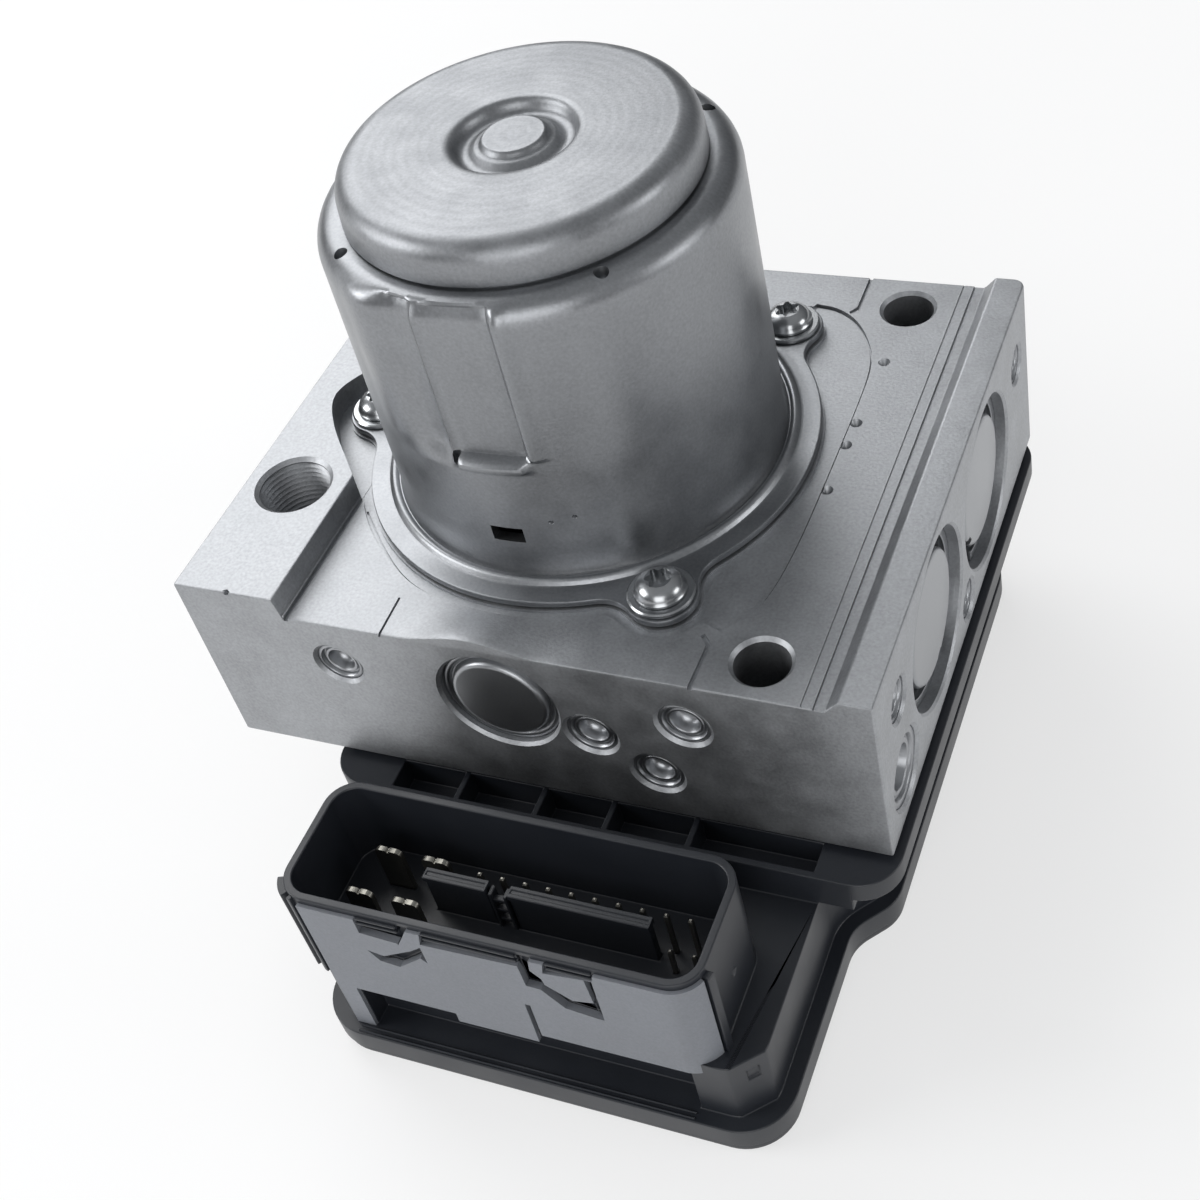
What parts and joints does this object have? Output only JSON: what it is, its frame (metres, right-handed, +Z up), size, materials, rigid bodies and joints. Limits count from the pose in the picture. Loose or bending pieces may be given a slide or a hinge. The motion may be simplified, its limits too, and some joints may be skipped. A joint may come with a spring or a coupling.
{
  "type": "abs brake module",
  "caption": "Brake control module: aluminium valve block with brake pipe ports, a pump motor in a drawn steel can on top and a plastic control unit with a plug socket below",
  "frame": {"origin": "where the motor's axis meets the underside of the control unit", "axes": "+Z up along the motor's axis, -Y towards the plug socket, +X towards the face with the accumulator caps"},
  "size_m": [0.1131, 0.1311, 0.1166],
  "materials": {
    "machined_aluminium": "extruded aluminium, sawn and milled, satin",
    "zinc_plated_steel": "drawn steel with a clear zinc plating",
    "bright_screw_steel": "zinc-plated steel",
    "aluminium_plugs": "turned aluminium, pressed in",
    "housing_plastic": "dark grey glass-filled nylon",
    "soft_seal": "black rubber",
    "tinned_contacts": "tinned brass",
    "board_laminate": "green laminate",
    "hard_steel": "ground steel",
    "core_steel": "stacked electrical steel",
    "winding_copper": "enamelled copper wire",
    "commutator_copper": "turned copper",
    "ferrite": "sintered ferrite",
    "holder_plastic": "black moulded plastic",
    "carbon": "copper-graphite",
    "spring_steel": "spring steel",
    "coil_yokes": "steel yoke around a moulded coil"
  },
  "bodies": {
    "module": {"valve_block": "machined_aluminium", "motor_seal": "soft_seal", "motor_can": "zinc_plated_steel", "motor_end_cap": "zinc_plated_steel", "motor_washers": "bright_screw_steel", "motor_screws": "bright_screw_steel", "magnets": "ferrite", "shaft_bearings": "hard_steel", "brush_holder": "holder_plastic", "brushes": "carbon", "brush_springs": "spring_steel", "motor_terminals": "tinned_contacts", "pump_sleeves": "hard_steel", "pump_caps": "aluminium_plugs", "pump_spring_front": "spring_steel", "pump_spring_rear": "spring_steel", "accumulator_caps": "aluminium_plugs", "accumulator_spring_front": "spring_steel", "accumulator_spring_rear": "spring_steel", "bore_plugs": "aluminium_plugs", "valve_bodies": "hard_steel", "valve_springs": "spring_steel", "valve_coils": "coil_yokes", "ecu_housing": "housing_plastic", "ecu_cover": "housing_plastic", "ecu_seal": "soft_seal", "circuit_board": "board_laminate", "connector_blades": "tinned_contacts", "signal_pins": "tinned_contacts", "ecu_screws": "bright_screw_steel"},
    "rotor": {"armature_shaft": "hard_steel", "armature_core": "core_steel", "armature_winding": "winding_copper", "commutator": "commutator_copper", "eccentric_bearing": "hard_steel"},
    "pump_piston_front": {"pump_piston_front": "hard_steel"},
    "pump_piston_rear": {"pump_piston_rear": "hard_steel"},
    "accumulator_piston_front": {"accumulator_piston_front": "aluminium_plugs"},
    "accumulator_piston_rear": {"accumulator_piston_rear": "aluminium_plugs"},
    "valve_armature_1": {"valve_armature_1": "hard_steel"},
    "valve_armature_2": {"valve_armature_2": "hard_steel"},
    "valve_armature_3": {"valve_armature_3": "hard_steel"},
    "valve_armature_4": {"valve_armature_4": "hard_steel"},
    "valve_armature_5": {"valve_armature_5": "hard_steel"},
    "valve_armature_6": {"valve_armature_6": "hard_steel"},
    "valve_armature_7": {"valve_armature_7": "hard_steel"},
    "valve_armature_8": {"valve_armature_8": "hard_steel"}
  },
  "joints": [
    {"name": "motor_spin", "type": "hinge", "parent": "module", "child": "rotor", "pos_m": [0, 0, 0.0471], "axis": [0, 0, 1], "continuous": true},
    {"name": "pump_piston_front_slide", "type": "slide", "parent": "module", "child": "pump_piston_front", "axis": [0, -1, 0], "range_m": [0, 0.002], "stiffness_N_per_m": 4000, "springref_m": -0.004, "deforming": ["pump_spring_front"]},
    {"name": "pump_piston_rear_slide", "type": "slide", "parent": "module", "child": "pump_piston_rear", "axis": [0, 1, 0], "range_m": [0, 0.002], "stiffness_N_per_m": 4000, "springref_m": -0.004, "deforming": ["pump_spring_rear"]},
    {"name": "accumulator_front_slide", "type": "slide", "parent": "module", "child": "accumulator_piston_front", "axis": [1, 0, 0], "range_m": [0, 0.008], "stiffness_N_per_m": 1500, "springref_m": -0.006, "deforming": ["accumulator_spring_front"]},
    {"name": "accumulator_rear_slide", "type": "slide", "parent": "module", "child": "accumulator_piston_rear", "axis": [1, 0, 0], "range_m": [0, 0.008], "stiffness_N_per_m": 1500, "springref_m": -0.006, "deforming": ["accumulator_spring_rear"]},
    {"name": "valve_1_slide", "type": "slide", "parent": "module", "child": "valve_armature_1", "axis": [0, 0, 1], "range_m": [0, 0.00035], "stiffness_N_per_m": 1200, "springref_m": -0.002},
    {"name": "valve_2_slide", "type": "slide", "parent": "module", "child": "valve_armature_2", "axis": [0, 0, 1], "range_m": [0, 0.00035], "stiffness_N_per_m": 1200, "springref_m": -0.002},
    {"name": "valve_3_slide", "type": "slide", "parent": "module", "child": "valve_armature_3", "axis": [0, 0, 1], "range_m": [0, 0.00035], "stiffness_N_per_m": 1200, "springref_m": -0.002},
    {"name": "valve_4_slide", "type": "slide", "parent": "module", "child": "valve_armature_4", "axis": [0, 0, 1], "range_m": [0, 0.00035], "stiffness_N_per_m": 1200, "springref_m": -0.002},
    {"name": "valve_5_slide", "type": "slide", "parent": "module", "child": "valve_armature_5", "axis": [0, 0, -1], "range_m": [0, 0.00035], "stiffness_N_per_m": 1200, "springref_m": -0.002},
    {"name": "valve_6_slide", "type": "slide", "parent": "module", "child": "valve_armature_6", "axis": [0, 0, -1], "range_m": [0, 0.00035], "stiffness_N_per_m": 1200, "springref_m": -0.002},
    {"name": "valve_7_slide", "type": "slide", "parent": "module", "child": "valve_armature_7", "axis": [0, 0, -1], "range_m": [0, 0.00035], "stiffness_N_per_m": 1200, "springref_m": -0.002},
    {"name": "valve_8_slide", "type": "slide", "parent": "module", "child": "valve_armature_8", "axis": [0, 0, -1], "range_m": [0, 0.00035], "stiffness_N_per_m": 1200, "springref_m": -0.002}
  ]
}
